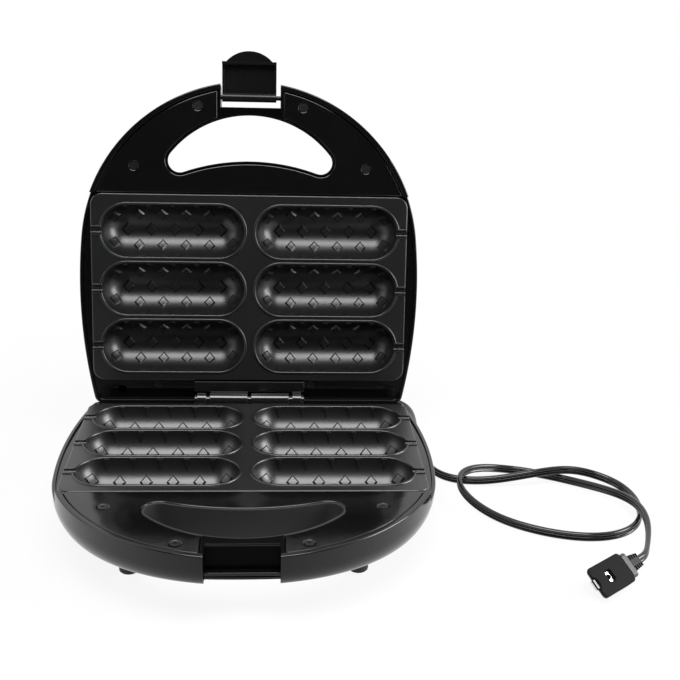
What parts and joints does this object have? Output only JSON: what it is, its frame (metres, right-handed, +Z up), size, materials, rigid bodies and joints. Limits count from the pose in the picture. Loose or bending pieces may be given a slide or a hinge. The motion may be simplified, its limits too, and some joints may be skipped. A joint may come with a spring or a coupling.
{
  "type": "corn dog maker",
  "caption": "Countertop corn dog maker: glossy black hinged shell with a latch, cast plates with long diamond-patterned moulds and stick grooves, and a corded plug.",
  "frame": {"origin": "on the table under the middle of the open machine without its cord, 2.7 mm behind the middle of the lower cooking plate", "axes": "+X to the machine's right seen from the front, +Y to the hinge at the back, +Z up"},
  "size_m": [0.38, 0.3111, 0.2776],
  "materials": {
    "black_gloss": "polished black",
    "black_satin": "satin black",
    "coated_grey": "dark grey non-stick coating, satin",
    "hinge_black": "gloss black enamel",
    "screw_steel": "zinc plated",
    "reflector_sheet": "rolled sheet",
    "heater_steel": "dull steel tube",
    "rubber_black": "matte",
    "cord_rubber": "matte dark grey",
    "plug_grey": "satin dark grey",
    "blade_nickel": "bright nickel plating",
    "ceramic_white": "pale",
    "red_lens": "clear red",
    "green_lens": "clear green"
  },
  "bodies": {
    "base": {"lower_housing": "black_gloss", "lower_handle_panel": "black_gloss", "lower_plate": "coated_grey", "lower_heating_rods": "heater_steel", "lower_reflector": "reflector_sheet", "lower_panel_screws": "screw_steel", "lower_plate_screws": "screw_steel", "rubber_feet": "rubber_black", "thermostat": "heater_steel", "thermal_fuse": "ceramic_white", "terminal_block": "ceramic_white", "hinge_base_leaf": "hinge_black", "hinge_base_screws": "screw_steel", "hinge_pin": "screw_steel", "cord_bush": "rubber_black", "power_cord": "cord_rubber", "plug_strain_relief": "plug_grey", "plug_body": "plug_grey", "plug_blades": "blade_nickel", "plug_cover": "black_satin"},
    "lid": {"upper_housing": "black_gloss", "upper_handle_panel": "black_gloss", "upper_plate": "coated_grey", "upper_heating_rods": "heater_steel", "upper_reflector": "reflector_sheet", "upper_panel_screws": "screw_steel", "upper_plate_screws": "screw_steel", "upper_rear_screws": "screw_steel", "hinge_lid_leaf": "hinge_black", "hinge_lid_screws": "screw_steel", "power_lens": "red_lens", "ready_lens": "green_lens", "lamp_holder": "ceramic_white", "latch_pin": "screw_steel"},
    "latch": {"latch_clip": "black_satin"}
  },
  "joints": [
    {"name": "lid_hinge", "type": "hinge", "parent": "base", "child": "lid", "pos_m": [0, 0.0759, 0.0414], "axis": [1, 0, 0], "range_deg": [0, 100]},
    {"name": "latch_pivot", "type": "hinge", "parent": "lid", "child": "latch", "pos_m": [0, 0.11938, 0.24707], "axis": [1, 0, 0], "range_deg": [0, 90]}
  ]
}
